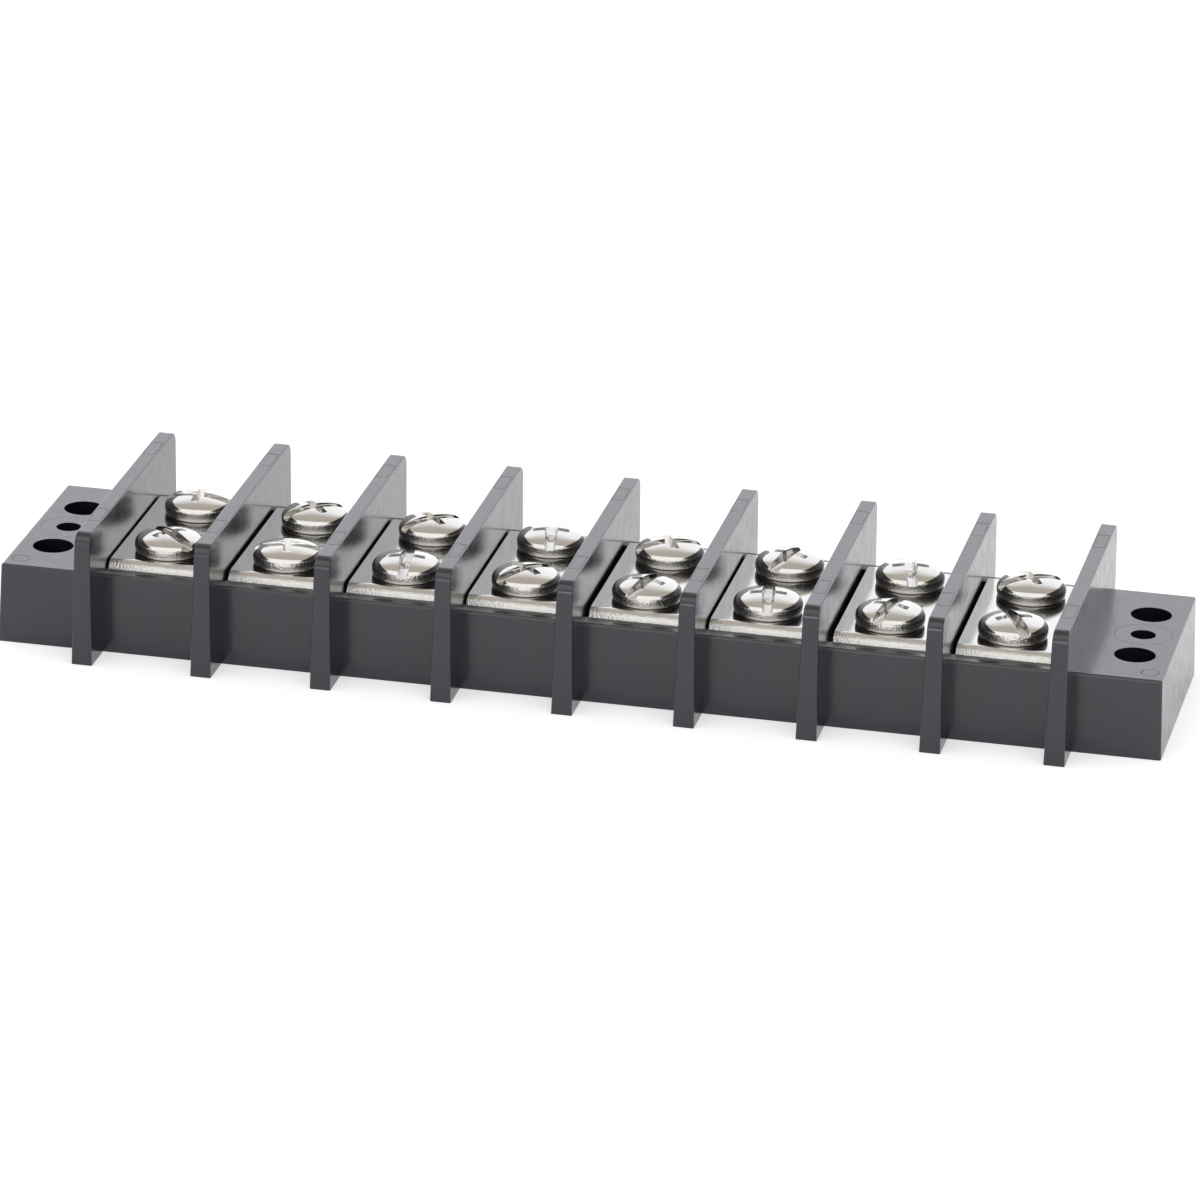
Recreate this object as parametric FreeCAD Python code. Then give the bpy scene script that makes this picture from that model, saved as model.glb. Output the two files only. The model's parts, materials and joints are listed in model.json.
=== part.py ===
# Barrier terminal strip with eight ways: one moulded base, eight terminal plates, sixteen screws.
# Millimetres. X runs along the strip, Y from the front to the back and Z up.
# The origin is in the middle of the underside.
import FreeCAD, Part
import math
import os

Vec = FreeCAD.Vector

# The strip and its base block
ways = 8
pitch = 14.29
end_reach = 11.54           # from the middle of the outer barrier to the end of the strip
base_depth = 28.4
base_height = 9.65
end_draft = 0.35            # how far each end face leans in from foot to top
block_edge = 0.3            # rounding of the block's outer edges

# The barriers between the ways
barrier_depth = 38.3
barrier_height = 16.1
barrier_foot = 2.45         # thickness on the bench
barrier_crest = 1.82        # thickness along the top
barrier_corner = 1.4        # radius of the two upper corners, seen from the end
barrier_edge = 0.16         # rounding along the edges of both flanks

# The holes that fix the strip to a panel, in a row across each end block
fixing_offset = 4.55        # from the end of the strip to the row of holes
fixing_hole = 4.8
fixing_spacing = 13.4
pilot_hole = 2.95

# The terminal plates, folded from strip metal
plate_thickness = 0.9
plate_flat = 21.4           # flat stretch between the two bends
bend_radius = 1.5           # outside of the bends
leg_drop = 4.4              # from the plate's face to the end of its legs
plate_side_gap = 0.5        # between a barrier and the plate's edge
collar_diameter = 5.8       # threaded collar drawn down round each hole
collar_length = 1.8

# The trough in the block, and the island that each plate rests on
trough_depth = 4.4
leg_clearance = 0.1         # between a leg and the wall in front of it
saddle_inset = 1.2          # how far the plate's edges stand out beyond its island
saddle_setback = 0.4        # from the start of a bend to the end of the island
well_clearance = 0.4        # all round the collar in the base
well_depth = 6.6

# The terminal screws
screw_spacing = 13.4        # front row to rear row
head_diameter = 8.1
head_seat = 6.9             # flat ring on which the head bears
head_belly = 0.9            # height of the widest ring of the head
head_shoulder = 1.03        # rounding from the widest ring up to the crown
shoulder_turn = 71          # how far round the shoulder goes, in degrees
head_height = 2.4
shank_diameter = 4.0
shank_length = 7.2
tip_bevel = 0.6
thread_clearance = 0.05     # all round the shank in its collar
seat_gap = 0.05             # the screws stand just clear of the plates

# The recess in each head: a straight slot with a cross in its middle
slot_width = 1.3
slot_depth = 1.2
cross_span = 4.7
cross_floor_span = 1.8
cross_width = 1.1
cross_floor_width = 0.7
cross_depth = 1.75

# How far the slots are turned, in degrees from the strip's length, way by way
front_slot_turns = [-41, 11, 97, 50, 75, 99, 77, 118]
rear_slot_turns = [0, 40, 42, 100, 27, 73, 103, 30]

# Sizes that follow from the ones above
strip_length = ways * pitch + 2 * end_reach
plate_top = base_height + plate_thickness
fixing_x = strip_length / 2 - fixing_offset
half_barrier = (barrier_foot + (barrier_crest - barrier_foot) * plate_top / barrier_height) / 2
plate_width = pitch - 2 * half_barrier - 2 * plate_side_gap
inner_bend = bend_radius - plate_thickness
bend_y = plate_flat / 2
bend_z = plate_top - bend_radius
leg_outer = bend_y + bend_radius
leg_inner = bend_y + inner_bend
leg_end = plate_top - leg_drop
saddle_width = plate_width - 2 * saddle_inset
saddle_length = plate_flat - 2 * saddle_setback
overrun = 1.0               # how far cutting shapes run past what they cut


def barrier_x(number):
    """Middle of a barrier, counted from 0 at the left end."""
    return (number - ways / 2) * pitch


def way_x(number):
    """Middle of a way, counted from 0 at the left end."""
    return barrier_x(number) + pitch / 2


def face_from(edges):
    """Flat face inside a closed run of edges."""
    return Part.Face(Part.Wire(edges))


def extrude_xz(corners, depth):
    """Solid with a straight-sided outline in X and Z, as deep as given and centred on Y."""
    points = [Vec(x, -depth / 2, z) for x, z in corners]
    outline = Part.makePolygon(points + points[:1])
    return Part.Face(outline).extrude(Vec(0, depth, 0))


def arc_yz(centre_y, centre_z, radius, start, end):
    """Arc in the Y and Z plane from one angle to another, in degrees from +Y."""
    points = []
    for angle in (start, (start + end) / 2, end):
        turn = math.radians(angle)
        points.append(Vec(0, centre_y + radius * math.cos(turn), centre_z + radius * math.sin(turn)))
    return Part.Arc(*points).toShape()


def line_yz(start, end):
    """Straight edge in the Y and Z plane."""
    return Part.makeLine(Vec(0, *start), Vec(0, *end))


def extrude_yz(edges, width, middle_x):
    """Solid with an outline in Y and Z, as wide as given about middle_x."""
    face = face_from(edges)
    face.translate(Vec(middle_x - width / 2, 0, 0))
    return face.extrude(Vec(width, 0, 0))


def centred_box(width, depth, bottom, top, middle_x):
    """Box with its middle at middle_x and Y zero, from one height to another."""
    corner = Vec(middle_x - width / 2, -depth / 2, bottom)
    return Part.makeBox(width, depth, top - bottom, corner)


def make_block():
    """The long block, with leaning end faces and softened edges."""
    half = strip_length / 2
    top = half - end_draft
    block = extrude_xz([(-half, 0), (half, 0), (top, base_height), (-top, base_height)], base_depth)
    rims = [edge for edge in block.Edges if edge.BoundBox.ZMax > base_height / 2]
    return block.makeFillet(block_edge, rims)


def make_barrier(number):
    """One barrier: thinner towards its crest, with rounded upper corners and soft edges."""
    foot = barrier_foot / 2
    crest = barrier_crest / 2
    corners = [(-foot, 0), (foot, 0), (crest, barrier_height), (-crest, barrier_height)]
    wedge = extrude_xz(corners, barrier_depth)
    side = barrier_depth / 2
    flat = side - barrier_corner
    shoulder = barrier_height - barrier_corner
    outline = [
        line_yz((-side, 0), (side, 0)),
        line_yz((side, 0), (side, shoulder)),
        arc_yz(flat, shoulder, barrier_corner, 0, 90),
        line_yz((flat, barrier_height), (-flat, barrier_height)),
        arc_yz(-flat, shoulder, barrier_corner, 90, 180),
        line_yz((-side, shoulder), (-side, 0)),
    ]
    barrier = wedge.common(extrude_yz(outline, 2 * barrier_foot, 0))
    rims = []
    for face in barrier.Faces:
        if abs(face.normalAt(0, 0).x) > 0.9:
            rims += [edge for edge in face.Edges if edge.BoundBox.ZMax > overrun]
    barrier = barrier.makeFillet(barrier_edge, rims)
    barrier.translate(Vec(barrier_x(number), 0, 0))
    return barrier


def make_trough():
    """The long opening in the block, which the barriers divide into ways."""
    depth = 2 * (leg_outer + leg_clearance)
    return centred_box(ways * pitch, depth, base_height - trough_depth, base_height + overrun, 0)


def make_saddle(number):
    """The island that one plate rests on, set in from the plate's edges."""
    bottom = base_height - trough_depth - overrun
    return centred_box(saddle_width, saddle_length, bottom, base_height, way_x(number))


def make_wells(number):
    """Room in one island for the two collars of the plate and the ends of the screws."""
    radius = collar_diameter / 2 + well_clearance
    wells = []
    for row in (-1, 1):
        foot = Vec(way_x(number), row * screw_spacing / 2, base_height - well_depth)
        wells.append(Part.makeCylinder(radius, well_depth + overrun, foot))
    return wells


def make_fixing_holes():
    """Three holes right through each end block: two for screws and a smaller one between."""
    row = [(-fixing_spacing / 2, fixing_hole), (0, pilot_hole), (fixing_spacing / 2, fixing_hole)]
    holes = []
    for side in (-1, 1):
        for y, diameter in row:
            foot = Vec(side * fixing_x, y, -overrun)
            holes.append(Part.makeCylinder(diameter / 2, base_height + 2 * overrun, foot))
    return holes


def make_base():
    """The one-piece moulding: block, islands and barriers, with all its openings."""
    islands = [make_saddle(number) for number in range(ways)]
    barriers = [make_barrier(number) for number in range(ways + 1)]
    holes = make_fixing_holes()
    for number in range(ways):
        holes += make_wells(number)
    solid = make_block().cut(make_trough()).fuse(islands + barriers)
    return solid.cut(holes).removeSplitter()


def make_plate(number):
    """A strip of metal folded down at the front and back, with two drawn and threaded collars."""
    side = leg_outer
    inside = leg_inner
    underside = base_height
    edges = [
        line_yz((-side, leg_end), (-side, bend_z)),
        arc_yz(-bend_y, bend_z, bend_radius, 180, 90),
        line_yz((-bend_y, plate_top), (bend_y, plate_top)),
        arc_yz(bend_y, bend_z, bend_radius, 90, 0),
        line_yz((side, bend_z), (side, leg_end)),
        line_yz((side, leg_end), (inside, leg_end)),
        line_yz((inside, leg_end), (inside, bend_z)),
        arc_yz(bend_y, bend_z, inner_bend, 0, 90),
        line_yz((bend_y, underside), (-bend_y, underside)),
        arc_yz(-bend_y, bend_z, inner_bend, 90, 180),
        line_yz((-inside, bend_z), (-inside, leg_end)),
        line_yz((-inside, leg_end), (-side, leg_end)),
    ]
    plate = extrude_yz(edges, plate_width, way_x(number))
    bore = shank_diameter / 2 + thread_clearance
    depth = collar_length + plate_thickness
    for row in (-1, 1):
        foot = Vec(way_x(number), row * screw_spacing / 2, underside - collar_length)
        collar = Part.makeCylinder(collar_diameter / 2, collar_length + plate_thickness / 2, foot)
        hole = Part.makeCylinder(bore, depth + 2 * overrun, foot - Vec(0, 0, overrun))
        plate = plate.fuse(collar).cut(hole)
    return plate.removeSplitter()


def make_screw_body():
    """Pan head and plain shank, turned about Z with the underside of the head at zero."""
    rim = head_diameter / 2
    seat = head_seat / 2
    shank = shank_diameter / 2
    corners = [
        Vec(0, 0, -shank_length),
        Vec(shank - tip_bevel, 0, -shank_length),
        Vec(shank, 0, -shank_length + tip_bevel),
        Vec(shank, 0, 0),
        Vec(seat, 0, 0),
    ]
    edges = [Part.makeLine(start, end) for start, end in zip(corners, corners[1:])]
    belly = Vec(rim, 0, head_belly)
    tuck = Vec(seat + 0.7 * (rim - seat), 0, 0.37 * head_belly)
    edges.append(Part.Arc(corners[-1], tuck, belly).toShape())
    shoulder = []
    for turn in (shoulder_turn / 2, shoulder_turn):
        across = rim - head_shoulder + head_shoulder * math.cos(math.radians(turn))
        up = head_belly + head_shoulder * math.sin(math.radians(turn))
        shoulder.append(Vec(across, 0, up))
    edges.append(Part.Arc(belly, shoulder[0], shoulder[1]).toShape())
    rise = head_height - shoulder[1].z
    crown_radius = (shoulder[1].x ** 2 + rise ** 2) / (2 * rise)
    half_rim = shoulder[1].x / 2
    half_z = head_height - crown_radius + math.sqrt(crown_radius ** 2 - half_rim ** 2)
    crown_top = Vec(0, 0, head_height)
    edges.append(Part.Arc(shoulder[1], Vec(half_rim, 0, half_z), crown_top).toShape())
    edges.append(Part.makeLine(crown_top, corners[0]))
    return face_from(edges).revolve(Vec(0, 0, 0), Vec(0, 0, 1), 360)


def rectangle(span, width, z):
    """Closed rectangle, span along X and width along Y, about the Z axis."""
    x = span / 2
    y = width / 2
    return Part.makePolygon([Vec(-x, -y, z), Vec(x, -y, z), Vec(x, y, z), Vec(-x, y, z), Vec(-x, -y, z)])


def make_recess():
    """The cutter for a driver recess: a slot right across and two tapering wings."""
    corner = Vec(-head_diameter, -slot_width / 2, head_height - slot_depth)
    slot = Part.makeBox(2 * head_diameter, slot_width, slot_depth + overrun, corner)
    mouth = rectangle(cross_span, cross_width, head_height)
    floor = rectangle(cross_floor_span, cross_floor_width, head_height - cross_depth)
    wing = Part.makeLoft([floor, mouth], True)
    across = wing.copy()
    across.rotate(Vec(0, 0, 0), Vec(0, 0, 1), 90)
    return slot.fuse([wing, across])


def make_screw(number, row, turn):
    """One terminal screw in its place; row is -1 at the front and 1 at the back."""
    screw = make_screw_body().cut(make_recess())
    screw.rotate(Vec(0, 0, 0), Vec(0, 0, 1), turn)
    screw.translate(Vec(way_x(number), row * screw_spacing / 2, plate_top + seat_gap))
    return screw


def save(shape, name):
    """Write one solid to its own file."""
    solids = shape.Solids
    assert len(solids) == 1, name
    assert solids[0].isValid(), name
    solids[0].exportStep("parts/" + name + ".step")


os.makedirs("parts", exist_ok=True)
save(make_base(), "base_moulding")
for way in range(ways):
    label = str(way + 1)
    save(make_plate(way), "terminal_plate_" + label)
    save(make_screw(way, -1, front_slot_turns[way % len(front_slot_turns)]), "screw_front_" + label)
    save(make_screw(way, 1, rear_slot_turns[way % len(rear_slot_turns)]), "screw_rear_" + label)
print("strip", round(strip_length, 2), "x", barrier_depth, "x", barrier_height, "mm")
print("plate width", round(plate_width, 2), "island width", round(saddle_width, 2))
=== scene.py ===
# %% [markdown]
# # A barrier terminal strip, dressed for its portrait
#
# The object is an electrician's terminal strip: a long black moulding with nine upright barriers,
# eight bright plates between them, and two rows of screws that clamp the ends of wires.
# Its solids already exist at their real size. This lesson gives them their finish, swaps the plain
# plates and screws for detailed ones, and sets up the light and the camera of a product photograph.
# Blender works in metres, so lengths are written in millimetres times mm.

# %% Load the solids
import bpy
import bmesh
import json
import math
from mathutils import Matrix, Vector


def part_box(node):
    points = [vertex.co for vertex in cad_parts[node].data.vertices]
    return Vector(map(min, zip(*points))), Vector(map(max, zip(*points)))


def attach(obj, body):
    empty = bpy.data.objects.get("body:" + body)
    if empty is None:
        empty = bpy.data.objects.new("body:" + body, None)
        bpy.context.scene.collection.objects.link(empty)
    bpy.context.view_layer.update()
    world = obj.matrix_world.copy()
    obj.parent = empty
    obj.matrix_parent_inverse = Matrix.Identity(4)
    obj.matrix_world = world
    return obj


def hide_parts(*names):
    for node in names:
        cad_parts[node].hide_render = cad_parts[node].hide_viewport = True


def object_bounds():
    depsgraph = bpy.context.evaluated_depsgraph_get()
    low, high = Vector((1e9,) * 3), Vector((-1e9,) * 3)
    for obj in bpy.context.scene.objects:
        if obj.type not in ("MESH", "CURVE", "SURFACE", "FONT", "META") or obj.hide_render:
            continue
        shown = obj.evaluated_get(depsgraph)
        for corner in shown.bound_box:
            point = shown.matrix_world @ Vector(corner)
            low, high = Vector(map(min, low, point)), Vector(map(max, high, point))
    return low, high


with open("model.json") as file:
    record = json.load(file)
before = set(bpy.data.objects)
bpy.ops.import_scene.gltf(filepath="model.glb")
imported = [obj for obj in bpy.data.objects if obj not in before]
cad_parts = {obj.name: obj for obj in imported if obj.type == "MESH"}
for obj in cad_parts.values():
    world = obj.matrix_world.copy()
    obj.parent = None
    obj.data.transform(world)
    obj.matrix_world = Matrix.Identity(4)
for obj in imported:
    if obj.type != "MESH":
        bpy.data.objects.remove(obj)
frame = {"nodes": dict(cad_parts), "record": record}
cad_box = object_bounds()
mm = 0.001

# %% [markdown]
# ## The camera
#
# A long lens from some way off keeps the barriers nearly parallel, as in a catalogue picture.
# The place and the turn of the camera could be found by eye. Here they were worked out from the
# corners of the barriers, whose real spacing is even, so the far end is as small as it should be.

# %% Set up the camera
camera_data = bpy.data.cameras.new("portrait_camera")
camera_data.sensor_width = 36
camera_data.lens = 221.37
camera_data.shift_x = 0.0641
camera_data.shift_y = -0.0006
camera_data.clip_end = 10
camera = bpy.data.objects.new("portrait_camera", camera_data)
camera.location = (0.16057, -0.79076, 0.31206)
camera.rotation_euler = [math.radians(turn) for turn in (69.2833, -1.3451, 12.6056)]
bpy.context.scene.collection.objects.link(camera)
bpy.context.scene.camera = camera
bpy.context.scene.view_settings.view_transform = "Standard"
print("camera", round(camera.location.length, 3), "m from the strip")

# %% [markdown]
# ## Helpers for shader graphs
#
# A finish is a small graph of nodes. Short helpers keep each graph readable. The first three start
# a material, add a node with its settings and inputs, and work out one sum.

# %% Graph helpers


def start_finish(name):
    """A new material; returns the material, its node tree and its principled shader."""
    material = bpy.data.materials.new(name)
    material.use_nodes = True
    tree = material.node_tree
    return material, tree, tree.nodes["Principled BSDF"]


def add_node(tree, kind, inputs=None, **settings):
    """Add a node, set its plain properties, and set or link its inputs."""
    node = tree.nodes.new(kind)
    for key, value in settings.items():
        setattr(node, key, value)
    for key, value in (inputs or {}).items():
        if isinstance(value, bpy.types.NodeSocket):
            tree.links.new(value, node.inputs[key])
        else:
            node.inputs[key].default_value = value
    return node


def sum_of(tree, operation, first, second=0.0):
    """One arithmetic step between two values or sockets."""
    return add_node(tree, "ShaderNodeMath", {0: first, 1: second}, operation=operation).outputs[0]


print("graph helpers ready")

# %% [markdown]
# ## Noise, blends and bump
#
# No real surface is even, so most inputs of a finish are blends steered by a cloudy noise. The
# noise is laid out in the strip's own coordinates, in metres, so a grain keeps its real size on
# every piece. Bump has a real depth in metres for the same reason.

# %% Surface helpers


def grain(tree, place, scale, detail=3.0):
    """A cloudy noise between 0 and 1, with about scale features to the metre."""
    inputs = {"Vector": place, "Scale": scale, "Detail": detail}
    return add_node(tree, "ShaderNodeTexNoise", inputs).outputs["Fac"]


def blend_values(tree, source, low, high, start=0.3, end=0.7):
    """Go from low to high as a value goes from start to end; most noise is within 0.3 to 0.7."""
    inputs = {"Value": source, "From Min": start, "From Max": end, "To Min": low, "To Max": high}
    node = add_node(tree, "ShaderNodeMapRange", inputs, interpolation_type="SMOOTHSTEP")
    return node.outputs["Result"]


def blend_colours(tree, source, first, second):
    """Mix two colours, each one plain or a socket, by a value between 0 and 1."""
    first, second = (colour if isinstance(colour, bpy.types.NodeSocket) else (*colour, 1)
                     for colour in (first, second))
    inputs = {"Factor": source, "A": first, "B": second}
    return add_node(tree, "ShaderNodeMix", inputs, data_type="RGBA").outputs["Result"]


def dent(tree, height, depth, strength=1.0, under=None):
    """Bump of a real depth in metres, laid over another bump if one is given."""
    inputs = {"Height": height, "Distance": depth, "Strength": strength}
    if under is not None:
        inputs["Normal"] = under
    return add_node(tree, "ShaderNodeBump", inputs).outputs["Normal"]


print("surface helpers ready")

# %% [markdown]
# ## Blade marks on the barriers
#
# A mould is put together from several steel pieces, and each joint leaves a hairline on the part.
# The photograph shows thin rectangles on top of every barrier, where a blade of steel ends. The
# rear end of each rectangle is the deepest line. The lines are under a tenth of a millimetre deep,
# too fine to model well, so they are drawn as distances in the shader and pressed in as bump.

# %% Hairlines of the blades
pitch = 14.29 * mm
line_half_width = 0.05 * mm
blade_half_width = 0.68 * mm
blade_half_length = 2.15 * mm
blade_centre = 12.0 * mm
outline_strength = 0.7


def near_zero(tree, distance, reach):
    """1 where a distance is nearly zero, fading to 0 at reach."""
    return blend_values(tree, sum_of(tree, "ABSOLUTE", distance), 1, 0, start=0, end=reach)


def blade_lines(tree, x, y):
    """A faint rectangle near each end of every barrier's top, and its two short ends deeper."""
    period = {0: x, 1: pitch / 2, 2: -pitch / 2}
    across = add_node(tree, "ShaderNodeMath", period, operation="WRAP").outputs[0]
    side = sum_of(tree, "SUBTRACT", sum_of(tree, "ABSOLUTE", across), blade_half_width)
    centre = sum_of(tree, "MULTIPLY", sum_of(tree, "SIGN", y), blade_centre)
    along = sum_of(tree, "SUBTRACT", y, centre)
    end = sum_of(tree, "SUBTRACT", sum_of(tree, "ABSOLUTE", along), blade_half_length)
    outline = near_zero(tree, sum_of(tree, "MAXIMUM", side, end), reach=2.2 * line_half_width)
    outline = sum_of(tree, "MULTIPLY", outline, outline_strength)
    short_end = near_zero(tree, end, reach=3.0 * line_half_width)
    short_end = sum_of(tree, "MULTIPLY", short_end, sum_of(tree, "LESS_THAN", side, 0))
    rear_deeper = blend_values(tree, along, low=0.4, high=1.0, start=0, end=1 * mm)
    short_end = sum_of(tree, "MULTIPLY", short_end, rear_deeper)
    return sum_of(tree, "MAXIMUM", outline, short_end)


print("blade marks", round(2 * blade_half_length / mm, 2), "mm long")

# %% [markdown]
# ## Rings and discs on the end blocks
#
# A sleeve that pushes the part out of its mould leaves a ring round the small hole of each end
# block, and a small round plug leaves a disc in its front corner. Both are circles, drawn as the
# distance from a centre. All the hairlines then go on upward faces only: the blades' at the height
# of the barriers' tops, the circles at the height of the end blocks.

# %% Hairlines of the end blocks
ring_centre, ring_radius = (64.15 * mm, 0), 3.33 * mm
disc_centre, disc_radius = (66.6 * mm, -11.85 * mm), 1.0 * mm
crest_level = 15.9 * mm
block_level = 10 * mm


def circle_line(tree, x, y, centre, radius, half_width):
    """Outline of a circle that is mirrored about the middle of the strip."""
    across = sum_of(tree, "SUBTRACT", sum_of(tree, "ABSOLUTE", x), centre[0])
    along = sum_of(tree, "SUBTRACT", y, centre[1])
    across = sum_of(tree, "MULTIPLY", across, across)
    along = sum_of(tree, "MULTIPLY", along, along)
    from_centre = sum_of(tree, "SQRT", sum_of(tree, "ADD", across, along))
    return near_zero(tree, sum_of(tree, "SUBTRACT", from_centre, radius), half_width)


def tool_marks(tree, place):
    """All hairlines together: 1 on a line and 0 elsewhere, on upward faces only."""
    parts = add_node(tree, "ShaderNodeSeparateXYZ", {"Vector": place})
    x, y, z = parts.outputs["X"], parts.outputs["Y"], parts.outputs["Z"]
    on_crest = sum_of(tree, "GREATER_THAN", z, crest_level)
    blades = sum_of(tree, "MULTIPLY", blade_lines(tree, x, y), on_crest)
    ring = circle_line(tree, x, y, ring_centre, ring_radius, line_half_width)
    disc = circle_line(tree, x, y, disc_centre, disc_radius, 2 * line_half_width)
    on_block = sum_of(tree, "LESS_THAN", z, block_level)
    circles = sum_of(tree, "MULTIPLY", sum_of(tree, "MAXIMUM", ring, disc), on_block)
    normal = add_node(tree, "ShaderNodeNewGeometry").outputs["True Normal"]
    facing = add_node(tree, "ShaderNodeSeparateXYZ", {"Vector": normal})
    upward = sum_of(tree, "GREATER_THAN", facing.outputs["Z"], 0.98)
    return sum_of(tree, "MULTIPLY", sum_of(tree, "MAXIMUM", blades, circles), upward)


print("ring", round(2 * ring_radius / mm, 2), "mm, disc", round(2 * disc_radius / mm, 2), "mm")

# %% [markdown]
# ## The black moulding
#
# The base is moulded in one piece from a hard black plastic. Its solid has the right shape, so it
# only needs a finish. It is nearly black, and what the eye reads is the gloss: dark where a face
# looks at the camera, silvery where it is seen at a low angle. A thin clear coat over the base
# gloss gives that steep change. The skin is slightly wavy and finely pitted. Both are bump, because
# they are far too small to model.

# %% Finish of the moulding
deep_black, pale_black = (0.006, 0.006, 0.013), (0.010, 0.010, 0.019)
mark_black = (0.002, 0.002, 0.003)
mark_depth = 0.08 * mm
mark_roughness = 0.4


def moulding_finish():
    """Near-black plastic with a soft gloss, fine pits, a wavy skin and its tool marks."""
    material, tree, shader = start_finish("black_moulding")
    place = add_node(tree, "ShaderNodeTexCoord").outputs["Object"]
    marks = tool_marks(tree, place)
    shader.inputs["IOR"].default_value = 1.6
    shader.inputs["Coat Weight"].default_value = 0.3
    shader.inputs["Coat Roughness"].default_value = 0.12
    shade = blend_colours(tree, grain(tree, place, scale=180), deep_black, pale_black)
    shade = blend_colours(tree, marks, shade, mark_black)
    tree.links.new(shade, shader.inputs["Base Color"])
    rough = blend_values(tree, grain(tree, place, scale=500, detail=5), low=0.17, high=0.25)
    rough = sum_of(tree, "ADD", rough, sum_of(tree, "MULTIPLY", marks, mark_roughness))
    tree.links.new(rough, shader.inputs["Roughness"])
    pits = dent(tree, grain(tree, place, scale=6000, detail=2), depth=0.003 * mm, strength=0.5)
    waves = grain(tree, place, scale=130, detail=1)
    skin = dent(tree, waves, depth=0.03 * mm, strength=0.2, under=pits)
    lines = dent(tree, marks, depth=-mark_depth, under=skin)
    tree.links.new(lines, shader.inputs["Normal"])
    return material


moulding = moulding_finish()
print("nodes in the moulding's finish", len(moulding.node_tree.nodes))

# %% [markdown]
# ## Nickel on the plates and the screws
#
# Both metals are nickel plated, so both are slightly warm mirrors. The plates were stamped and
# folded, which leaves a smooth face and a torn grain along the bends. The screws were headed and
# barrel plated: their crowns are smooth and their sides are pitted. The meshes below carry a
# number called rough_skin at each vertex, 1 where the metal was worked hard, and the finish reads
# it.

# %% Finish of the nickel


def nickel_finish(name, dark, light, calm, worked):
    """Nickel plate; calm and worked skin are each given as a roughness and a depth of pits."""
    material, tree, shader = start_finish(name)
    place = add_node(tree, "ShaderNodeTexCoord").outputs["Object"]
    skin = add_node(tree, "ShaderNodeAttribute", attribute_name="rough_skin").outputs["Fac"]
    shader.inputs["Metallic"].default_value = 1.0
    tint = blend_colours(tree, grain(tree, place, scale=600), dark, light)
    tree.links.new(tint, shader.inputs["Base Color"])
    cloud = blend_values(tree, grain(tree, place, scale=2200, detail=5), low=0.7, high=1.3)
    roughness = blend_values(tree, skin, calm[0], worked[0], start=0, end=1)
    tree.links.new(sum_of(tree, "MULTIPLY", cloud, roughness), shader.inputs["Roughness"])
    depth = blend_values(tree, skin, calm[1], worked[1], start=0, end=1)
    pits = sum_of(tree, "MULTIPLY", grain(tree, place, scale=4800, detail=4), depth)
    tree.links.new(dent(tree, pits, depth=1.0), shader.inputs["Normal"])
    return material


plate_nickel = nickel_finish("plate_nickel", dark=(0.57, 0.565, 0.545), light=(0.63, 0.625, 0.605),
                             calm=(0.11, 0.003 * mm), worked=(0.18, 0.075 * mm))
screw_nickel = nickel_finish("screw_nickel", dark=(0.57, 0.555, 0.53), light=(0.64, 0.625, 0.60),
                             calm=(0.08, 0.002 * mm), worked=(0.2, 0.09 * mm))
print("nodes in each nickel", len(plate_nickel.node_tree.nodes))

# %% [markdown]
# ## Dress the solids
#
# The record names a slot for every solid, and each slot has one finish. The moulding shows as it
# is from here on. The plates and screws are dressed too, although finer meshes will stand for them.

# %% Put the finishes on
finishes = {"moulding": moulding, "plate_metal": plate_nickel, "screw_metal": screw_nickel}
for row in frame["record"]["subparts"]:
    solid = frame["nodes"][row["node"]]
    solid.data.materials.clear()
    solid.data.materials.append(finishes[row["material_slot"]])
print("finishes", sorted(finishes))

# %% [markdown]
# ## Helpers that cut and soften
#
# Cutting one shape from another is quickest with the boolean modifier, and a small bevel on every
# sharp edge is what catches the light. Modifiers are left live in everyday work. Here they are
# applied at once, so that the finished mesh can be copied to each place.

# %% Mesh helpers


def object_from(shape, name):
    """Put a bmesh into a new object in the scene."""
    bmesh.ops.recalc_face_normals(shape, faces=shape.faces)
    mesh = bpy.data.meshes.new(name)
    shape.to_mesh(mesh)
    shape.free()
    thing = bpy.data.objects.new(name, mesh)
    bpy.context.scene.collection.objects.link(thing)
    return thing


def settle(thing):
    """Apply every modifier of a thing to its mesh."""
    bpy.context.view_layer.update()
    ready = thing.evaluated_get(bpy.context.evaluated_depsgraph_get())
    mesh = bpy.data.meshes.new_from_object(ready)
    thing.modifiers.clear()
    thing.data = mesh


def combine(thing, tool, operation):
    """Cut a tool from a thing, or join it on, and throw the tool away."""
    step = thing.modifiers.new(operation.lower(), "BOOLEAN")
    step.operation = operation
    step.solver = "EXACT"
    step.object = tool
    settle(thing)
    bpy.data.objects.remove(tool)


def soften(thing, width, sharpest):
    """Bevel the edges sharper than an angle in degrees, and even out the shading across them."""
    bevel = thing.modifiers.new("soft_edges", "BEVEL")
    bevel.width = width
    bevel.segments = 2
    bevel.limit_method = "ANGLE"
    bevel.angle_limit = math.radians(sharpest)
    settle(thing)
    thing.data.shade_smooth()
    weight = thing.modifiers.new("even_shading", "WEIGHTED_NORMAL")
    weight.keep_sharp = True
    settle(thing)


print("mesh helpers ready")

# %% [markdown]
# ## Helpers that mark and seat
#
# A pattern is made once, and its skin is marked where the metal was worked. Each real piece is then
# a copy of the pattern, moved to its place. It rides on a body, stands for its solid and takes its
# finish from a slot.

# %% Placing helpers


def mark_skin(mesh, worked):
    """Store rough_skin at each vertex from a function of its place."""
    skin = mesh.attributes.new("rough_skin", "FLOAT", "POINT")
    for vertex in mesh.vertices:
        skin.data[vertex.index].value = worked(vertex.co)


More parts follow.
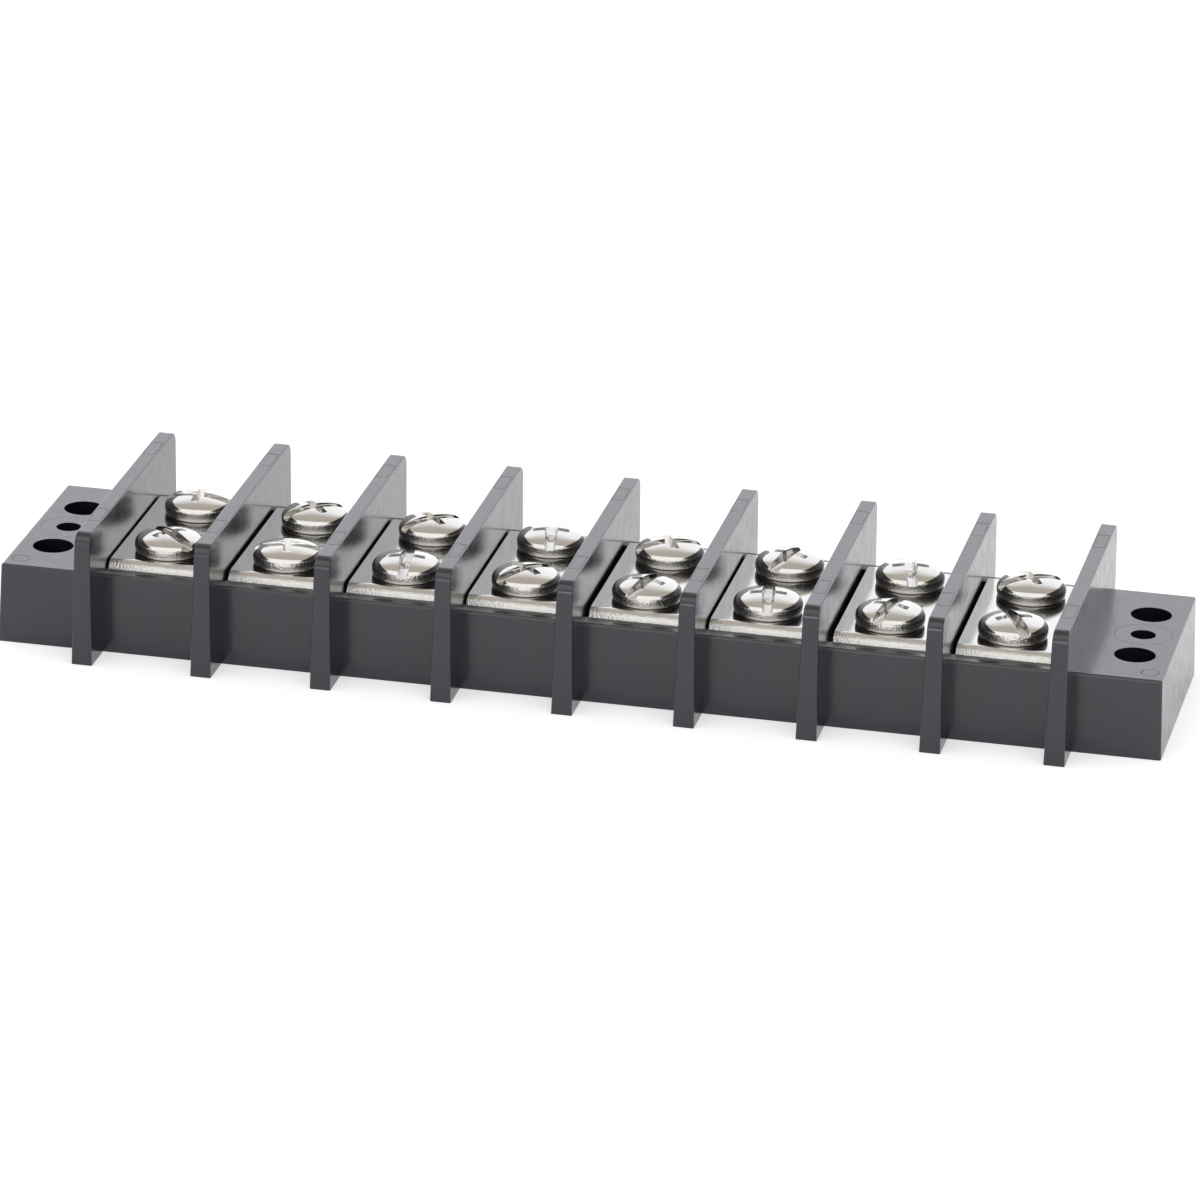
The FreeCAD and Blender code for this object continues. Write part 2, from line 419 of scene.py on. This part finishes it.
def seat(mesh, name, place, body, node, slot):
    """Copy a finished mesh to its place, ride it on its body and let it stand for its solid."""
    own = mesh.copy()
    own.transform(place)
    piece = bpy.data.objects.new(name, own)
    bpy.context.scene.collection.objects.link(piece)
    own.materials.clear()
    own.materials.append(finishes[slot])
    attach(piece, body)
    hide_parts(node)


print("placing helpers ready")

# %% [markdown]
# ## A terminal plate
#
# Each plate starts as a flat strip of brass. Its ends are folded down, and two collars are drawn
# down through it and threaded. The folded strip could be a flat grid bent by a modifier. It is
# shorter to walk along the fold and set down an outer and an inner pair of points as it goes.

# %% Fold the strip
sheet = 0.9 * mm
fold_radius = 1.5 * mm
fold_steps = 9


def fold_path(low, high):
    """Outside points of the folded strip with the way each faces, from front leg to rear leg."""
    flat = high.y - fold_radius
    level = high.z - fold_radius
    walk = [(-high.y, low.z, -1.0, 0.0)]
    for side in (-1, 1):
        for step in range(fold_steps + 1):
            turn = math.radians(90 * step / fold_steps)
            if side > 0:
                turn = math.radians(90) - turn
            out, up = math.cos(turn), math.sin(turn)
            y, z = side * (flat + fold_radius * out), level + fold_radius * up
            walk.append((y, z, side * out, up))
    walk.append((high.y, low.z, 1.0, 0.0))
    return walk


def skin_over(shape, rings):
    """Join rings of points, one after another, into a closed skin with a face over each end."""
    for ring, following in zip(rings, rings[1:]):
        for corner in range(len(ring)):
            after = (corner + 1) % len(ring)
            shape.faces.new((ring[corner], ring[after], following[after], following[corner]))
    shape.faces.new(reversed(rings[0]))
    shape.faces.new(rings[-1])


def folded_strip(low, high):
    """The folded strip as a closed mesh, centred on X."""
    shape = bmesh.new()
    half = (high.x - low.x) / 2
    rings = []
    for y, z, face_y, face_z in fold_path(low, high):
        inner_y, inner_z = y - sheet * face_y, z - sheet * face_z
        corners = [(-half, y, z), (half, y, z), (half, inner_y, inner_z), (-half, inner_y, inner_z)]
        rings.append([shape.verts.new(corner) for corner in corners])
    skin_over(shape, rings)
    return shape


plate_low, plate_high = (Vector(corner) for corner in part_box("terminal_plate_1"))
plate = object_from(folded_strip(plate_low, plate_high), "plate_pattern")
print("folded strip", len(plate.data.polygons), "faces")

# %% [markdown]
# ## Collars and tapped holes
#
# The collars are tubes under the plate, and the holes go through plate and collar together.
# Solid rods are joined on first and smaller rods cut away after, as a drill would do it. The skin
# of the bends is marked last, when the plate has all its points.

# %% Draw the collars
screw_low, screw_high = (Vector(corner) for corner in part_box("screw_front_1"))
row_y = -(screw_low.y + screw_high.y) / 2
collar_radius, hole_radius = 2.9 * mm, 2.05 * mm
collar_foot, collar_top = plate_high.z - 2.7 * mm, plate_high.z - 0.4 * mm
drill_foot, drill_top = plate_high.z - 5 * mm, plate_high.z + 1 * mm
torn_from = plate_high.y - 0.7 * fold_radius
torn_fade = 0.3 * fold_radius


def rod(radius, bottom, top, y):
    """A round rod along Z."""
    shape = bmesh.new()
    bmesh.ops.create_cone(shape, cap_ends=True, segments=48, radius1=radius, radius2=radius,
                          depth=top - bottom)
    bmesh.ops.translate(shape, vec=(0, y, (bottom + top) / 2), verts=shape.verts)
    return object_from(shape, "rod")


def torn_bend(spot):
    """0 on the flat of the plate, rising to 1 on the bends and the legs."""
    return min(1.0, max(0.0, (abs(spot.y) - torn_from) / torn_fade))


for hole_y in (-row_y, row_y):
    combine(plate, rod(collar_radius, collar_foot, collar_top, hole_y), "UNION")
for hole_y in (-row_y, row_y):
    combine(plate, rod(hole_radius, drill_foot, drill_top, hole_y), "DIFFERENCE")
soften(plate, width=0.08 * mm, sharpest=35)
mark_skin(plate.data, torn_bend)
print("plate", len(plate.data.polygons), "faces")

# %% [markdown]
# ## Set the plates down
#
# The plates have a little play between the barriers, so no two sit quite alike. Each one is set a
# tenth to a third of a millimetre to the left of the middle, as the photograph shows.

# %% Place the plates
plate_play = [-0.32, -0.2, -0.27, -0.3, -0.1, -0.3, -0.1, -0.15]
for number, play in enumerate(plate_play, start=1):
    node = "terminal_plate_" + str(number)
    low, high = (Vector(corner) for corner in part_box(node))
    shift = Matrix.Translation(((low.x + high.x) / 2 + play * mm, 0, 0))
    seat(plate.data, "plate_" + str(number), shift, "strip", node, "plate_metal")
bpy.data.objects.remove(plate)
print("plates", len(plate_play))

# %% [markdown]
# ## The head of a screw
#
# A pan head is made by squashing a wire in a die: a low crown, a round shoulder, and a side that
# drops nearly straight and tucks in sharply just above the plate. Its outline is turned about the
# screw's axis, as on a lathe. Spinning a few points is exact, and the points can be crowded where
# the curve is tight. The screw is drawn in millimetres, with the underside of its head at 0.

# %% Turn the head
head_rim = 4.05
head_seat = 3.45
head_belly = 0.9
head_shoulder = 1.03
head_top = 2.4
shoulder_turn = 71
tuck_power = 0.4
tuck_steps = 8
neck_radius, neck_foot = 1.9, -0.6


def arc(centre, radius, start, end, steps):
    """Points on an arc, as pairs of radius and height, from one angle to another in degrees."""
    turns = [math.radians(start + (end - start) * step / steps) for step in range(steps + 1)]
    return [(centre[0] + radius * math.cos(turn), centre[1] + radius * math.sin(turn))
            for turn in turns]


def head_outline():
    """Outline of the head from the shank to the top of the crown."""
    tuck = []
    for step in range(tuck_steps + 1):
        turn = math.radians(90 * step / tuck_steps)
        across = head_seat + (head_rim - head_seat) * math.sin(turn) ** tuck_power
        tuck.append((across, head_belly * (1 - math.cos(turn))))
    shoulder_centre = (head_rim - head_shoulder, head_belly)
    shoulder = arc(shoulder_centre, head_shoulder, 0, shoulder_turn, steps=9)
    edge, height = shoulder[-1]
    rise = head_top - height
    crown_radius = (edge * edge + rise * rise) / (2 * rise)
    lean = math.degrees(math.asin(edge / crown_radius))
    crown = arc((0, head_top - crown_radius), crown_radius, 90 - lean, 90, steps=7)
    neck = [(0, neck_foot), (neck_radius, neck_foot), (neck_radius, 0)]
    return neck + tuck + shoulder[1:] + crown[1:]


def turned(outline, name, steps):
    """Spin an outline in millimetres about Z into a closed mesh."""
    shape = bmesh.new()
    points = [shape.verts.new((across * mm, 0, up * mm)) for across, up in outline]
    lines = [shape.edges.new(pair) for pair in zip(points, points[1:])]
    bmesh.ops.spin(shape, geom=points + lines, cent=(0, 0, 0), axis=(0, 0, 1),
                   angle=math.tau, steps=steps)
    bmesh.ops.remove_doubles(shape, verts=shape.verts, dist=0.0001 * mm)
    return object_from(shape, name)


head = turned(head_outline(), "head_pattern", steps=80)
print("head", len(head.data.polygons), "faces")

# %% [markdown]
# ## The driver recess
#
# The recess takes a flat or a cross driver. A slot with leaning sides runs right across, and two
# tapering wings, one across the slot and one along it, make the cross. Each cutter stands where it
# cuts and is taken away from the head.

# %% Cut the recess
slot_reach = 4.6
slot_half = [(0.40, 1.12), (0.60, 1.30), (0.66, 1.90), (0.82, 2.70)]  # half width, height
wing_levels = [(0.9, 0.3, 0.65), (2.35, 0.5, 2.4), (2.6, 0.55, 2.7)]  # reach, half width, height


def slot_cutter():
    """A bar with the section of the slot, along X."""
    shape = bmesh.new()
    section = [(-y, z) for y, z in slot_half] + slot_half[::-1]
    ends = [[shape.verts.new((x * mm, y * mm, z * mm)) for y, z in section]
            for x in (-slot_reach, slot_reach)]
    skin_over(shape, ends)
    return object_from(shape, "slot_cutter")


def wing_cutter(turn):
    """One long tapering wing of the cross, wide at the mouth and narrow at the floor."""
    shape = bmesh.new()
    rings = []
    for reach, half, height in wing_levels:
        corners = [(-reach, -half), (reach, -half), (reach, half), (-reach, half)]
        rings.append([shape.verts.new((x * mm, y * mm, height * mm)) for x, y in corners])
    skin_over(shape, rings)
    spin = Matrix.Rotation(math.radians(turn), 3, "Z")
    bmesh.ops.rotate(shape, cent=(0, 0, 0), matrix=spin, verts=shape.verts)
    return object_from(shape, "wing_cutter")


combine(head, slot_cutter(), "DIFFERENCE")
combine(head, wing_cutter(90), "DIFFERENCE")
combine(head, wing_cutter(0), "DIFFERENCE")
soften(head, width=0.06 * mm, sharpest=30)
print("head with its recess", len(head.data.polygons), "faces")

# %% [markdown]
# ## The threaded shank
#
# The thread shows when a screw is backed out. It is a ridge wound round a core, so it is built as
# one: the four points of the ridge's section step round the core and down it, turn after turn, and
# the ridge sinks towards the core at both ends.

# %% Wind the thread
thread_rise = 0.8
thread_turns = 8
steps_a_turn = 24
thread_start = -0.55
foot_radius, core_radius, crest_radius = 1.55, 1.62, 1.99
foot_half, crest_half = 0.37, 0.06
swell_in, swell_out = 8, 16  # steps
core_outline = [(0, -7.2), (1.25, -7.2), (core_radius, -6.85), (core_radius, -0.5), (0, -0.5)]


def thread_ridge():
    """The ridge of the thread round the shank, running down from just below the head."""
    shape = bmesh.new()
    rows = []
    last = thread_turns * steps_a_turn
    for step in range(last + 1):
        turn = math.tau * step / steps_a_turn
        middle = thread_start - thread_rise * step / steps_a_turn
        swell = min(1.0, step / swell_in, (last - step) / swell_out)
        crest = core_radius + (crest_radius - core_radius) * swell
        section = [(foot_radius, middle + foot_half), (crest, middle + crest_half),
                   (crest, middle - crest_half), (foot_radius, middle - foot_half)]
        across, along = mm * math.cos(turn), mm * math.sin(turn)
        rows.append([shape.verts.new((r * across, r * along, z * mm)) for r, z in section])
    for row, following in zip(rows, rows[1:]):
        for corner in range(3):
            shape.faces.new((row[corner], row[corner + 1],
                             following[corner + 1], following[corner]))
    return object_from(shape, "ridge")


core = turned(core_outline, "core", steps=32)
ridge = thread_ridge()
for part in (core, ridge):
    part.data.shade_smooth()
print("thread", len(ridge.data.polygons), "faces")

# %% [markdown]
# ## One mesh for the whole screw
#
# The head, the ridge and the core are one piece of metal, so they become one mesh. The pitted skin
# is marked on the side of the head, more lightly in the recess, and left off the crown.

# %% Join the screw
recess_reach = 3.3
recess_top, recess_skin = 1.75, 0.7
pitted_top, pitted_fade = 1.45, 0.25
seat_skin, seat_height, seat_fade = 0.15, 0.2, 0.5


def worked_side(spot):
    """1 round the widest part of the head, less under it and in the recess, 0 on the crown."""
    across = math.hypot(spot.x, spot.y) / mm
    height = spot.z / mm
    if height < 0:
        return 0.0
    if across < recess_reach:
        return recess_skin if height < recess_top else 0.0
    above = min(1.0, max(0.0, (pitted_top - height) / pitted_fade))
    below = min(1.0, seat_skin + max(0.0, height - seat_height) / seat_fade)
    return above * below


joined = bmesh.new()
for part in (head, ridge, core):
    joined.from_mesh(part.data)
screw_mesh = bpy.data.meshes.new("screw_pattern")
joined.to_mesh(screw_mesh)
joined.free()
for part in (head, ridge, core):
    bpy.data.objects.remove(part)
mark_skin(screw_mesh, worked_side)
print("screw", len(screw_mesh.polygons), "faces")

# %% [markdown]
# ## Set the screws in
#
# Nobody lines up the slots of terminal screws, so each screw has its own turn, read off the
# photograph from left to right. Every screw rides on its own body, so it can be backed out. Its
# crown stays just under the top of the solid it stands for.

# %% Place the screws
front_turns = [-41, 11, 97, 50, 75, 99, 77, 118]
rear_turns = [0, 40, 42, 100, 27, 73, 103, 30]
crown_drop = 0.03
for row_name, turns in (("front", front_turns), ("rear", rear_turns)):
    for number, turn in enumerate(turns, start=1):
        node = "screw_" + row_name + "_" + str(number)
        low, high = (Vector(corner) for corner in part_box(node))
        underside = high.z - (head_top + crown_drop) * mm
        foot = Vector(((low.x + high.x) / 2, (low.y + high.y) / 2, underside))
        place = Matrix.Translation(foot) @ Matrix.Rotation(math.radians(turn), 4, "Z")
        seat(screw_mesh, "terminal_" + node, place, node, node, "screw_metal")
print("screws", len(front_turns) + len(rear_turns))

# %% [markdown]
# ## Floor
#
# The strip stands on white paper. The paper takes the object's soft shadow, and it glows a little
# for the camera and for reflections, so that it reads as white from edge to edge.

# %% Floor


def floor_finish():
    """White paper that takes the shadow and stays white around it."""
    material, tree, shader = start_finish("white_floor")
    shader.inputs["Base Color"].default_value = (0.78, 0.79, 0.82, 1)
    shader.inputs["Roughness"].default_value = 0.9
    shader.inputs["Specular IOR Level"].default_value = 0.0
    shader.inputs["Emission Color"].default_value = (1, 1, 1, 1)
    seen = add_node(tree, "ShaderNodeLightPath")
    camera_glow = sum_of(tree, "MULTIPLY", seen.outputs["Is Camera Ray"], 0.44)
    mirror_glow = sum_of(tree, "MULTIPLY", seen.outputs["Is Glossy Ray"], 0.32)
    glow = sum_of(tree, "ADD", camera_glow, mirror_glow)
    tree.links.new(glow, shader.inputs["Emission Strength"])
    return material


paper = bmesh.new()
bmesh.ops.create_grid(paper, x_segments=1, y_segments=1, size=3.0)
floor = object_from(paper, "floor")
floor.location.z = cad_box[0].z
floor.data.materials.append(floor_finish())
print("floor", [round(side, 2) for side in floor.dimensions])

# %% [markdown]
# ## Room
#
# Bright metal shows the room more than itself, so the room is part of the finish. From the back
# horizon over the top to the front, this one goes from white through the warm grey of a ceiling
# to white again, and fades to a plain grey low in front. The stops of the ramp are that angle as a
# share of a half turn. The camera sees plain white behind the object.

# %% Room
room_stops = [
    (0.00, (1.56, 1.58, 1.64)),
    (0.08, (1.46, 1.48, 1.55)),
    (0.20, (1.38, 1.40, 1.47)),
    (0.28, (0.68, 0.63, 0.57)),
    (0.55, (0.64, 0.59, 0.53)),
    (0.60, (1.46, 1.45, 1.42)),
    (0.73, (1.48, 1.48, 1.46)),
    (0.82, (1.02, 1.02, 1.02)),
    (0.95, (0.75, 0.75, 0.77)),
]
room_level = 1.6  # strength of the background; the ramp holds the colours divided by it


def room_light():
    """A white room with a warm grey ceiling; the camera sees it as plain white."""
    world = bpy.data.worlds.new("pale_room")
    world.use_nodes = True
    tree = world.node_tree
    direction = add_node(tree, "ShaderNodeTexCoord").outputs["Generated"]
    parts = add_node(tree, "ShaderNodeSeparateXYZ", {"Vector": direction})
    turn = sum_of(tree, "ARCTAN2", parts.outputs["Z"], parts.outputs["Y"])
    ramp = add_node(tree, "ShaderNodeValToRGB", {"Fac": sum_of(tree, "DIVIDE", turn, math.pi)})
    stops = ramp.color_ramp.elements
    while len(stops) < len(room_stops):
        stops.new(0.5)
    for stop, (position, colour) in zip(stops, room_stops):
        stop.position = position
        stop.color = [*(part / room_level for part in colour), 1]
    lit = tree.nodes["Background"]
    tree.links.new(ramp.outputs["Color"], lit.inputs["Color"])
    lit.inputs["Strength"].default_value = room_level
    plain = add_node(tree, "ShaderNodeBackground", {"Color": (1, 1, 1, 1), "Strength": 1.0})
    seen = add_node(tree, "ShaderNodeLightPath").outputs["Is Camera Ray"]
    choice = {0: seen, 1: lit.outputs[0], 2: plain.outputs[0]}
    either = add_node(tree, "ShaderNodeMixShader", choice)
    tree.links.new(either.outputs[0], tree.nodes["World Output"].inputs["Surface"])
    return world


bpy.context.scene.world = room_light()
print("room stops", len(room_stops))

# %% [markdown]
# ## Lamp
#
# One broad soft lamp stands in front, lower than the camera and a little behind it. It draws the
# highlight on the rounded corner of each barrier and brightens the folded ends of the plates.

# %% Lamp
lamp_data = bpy.data.lights.new("front_softbox", "AREA")
lamp_data.shape = "RECTANGLE"
lamp_data.size = 1.0
lamp_data.size_y = 0.22
lamp_data.energy = 2.2
lamp = bpy.data.objects.new("front_softbox", lamp_data)
lamp.location = (0.15, -1.25, 0.14)
lamp.rotation_euler = (-lamp.location).to_track_quat("-Z", "Y").to_euler()
bpy.context.scene.collection.objects.link(lamp)
print("lamp", round(lamp.location.length, 2), "m from the strip")
